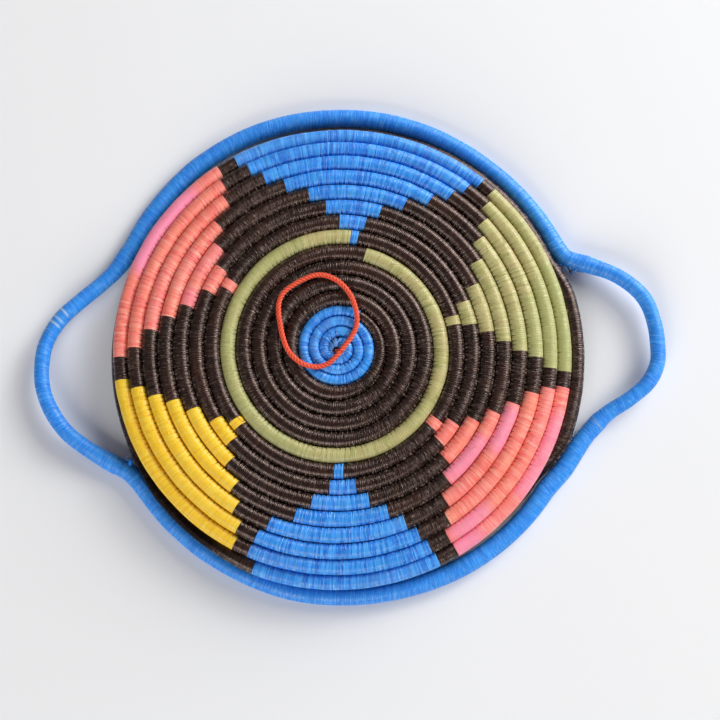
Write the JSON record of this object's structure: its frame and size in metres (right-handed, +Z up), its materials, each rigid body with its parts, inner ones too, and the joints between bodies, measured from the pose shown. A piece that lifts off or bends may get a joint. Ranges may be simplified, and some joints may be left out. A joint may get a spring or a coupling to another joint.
{
  "type": "coiled tray basket",
  "caption": "Round shallow raffia tray basket, coil-sewn in a flower star pattern, with two rope handles and a cord hanging loop on its base.",
  "frame": {"origin": "on the resting plane, under the middle of the part's outline", "axes": "+Z up from the rim to the underside of the base, +X towards the right handle, +Y towards the upper blue petal"},
  "size_m": [0.4688, 0.3754, 0.039],
  "materials": {
    "blue_raffia": "fine cross ribs, slight silky sheen",
    "brown_raffia": "fine cross ribs, pale broken highlights",
    "olive_raffia": "fine cross ribs",
    "coral_raffia": "fine cross ribs, from coral to pink",
    "yellow_raffia": "fine cross ribs, slight silky sheen",
    "grass_core": "dry grass bundle",
    "red_cord": "twisted three-ply cord"
  },
  "bodies": {
    "basket": {"centre_coil": "blue_raffia", "inner_coil": "brown_raffia", "band_coil": "olive_raffia", "blue_petal_top": "blue_raffia", "olive_petal": "olive_raffia", "coral_petal_right": "coral_raffia", "blue_petal_bottom": "blue_raffia", "yellow_petal": "yellow_raffia", "coral_petal_left": "coral_raffia", "brown_ray_top_right": "brown_raffia", "brown_ray_right": "brown_raffia", "brown_ray_bottom_right": "brown_raffia", "brown_ray_bottom_left": "brown_raffia", "brown_ray_left": "brown_raffia", "brown_ray_top_left": "brown_raffia", "edge_coil": "brown_raffia", "rim_core": "grass_core", "rim_wrap_top": "blue_raffia", "rim_wrap_bottom": "blue_raffia", "handle_wrap_right": "blue_raffia", "handle_wrap_left": "blue_raffia", "root_lashing_top_right": "blue_raffia", "root_lashing_bottom_right": "blue_raffia", "root_lashing_bottom_left": "blue_raffia", "root_lashing_top_left": "blue_raffia", "cord_knot": "red_cord"},
    "hang_loop": {"hang_cord": "red_cord"}
  },
  "joints": [
    {"name": "hang_loop_lift", "type": "hinge", "parent": "basket", "child": "hang_loop", "pos_m": [-0.00615, -0.00512, 0.03605], "axis": [0.6157, 0.788, 0], "range_deg": [0, 150]}
  ]
}
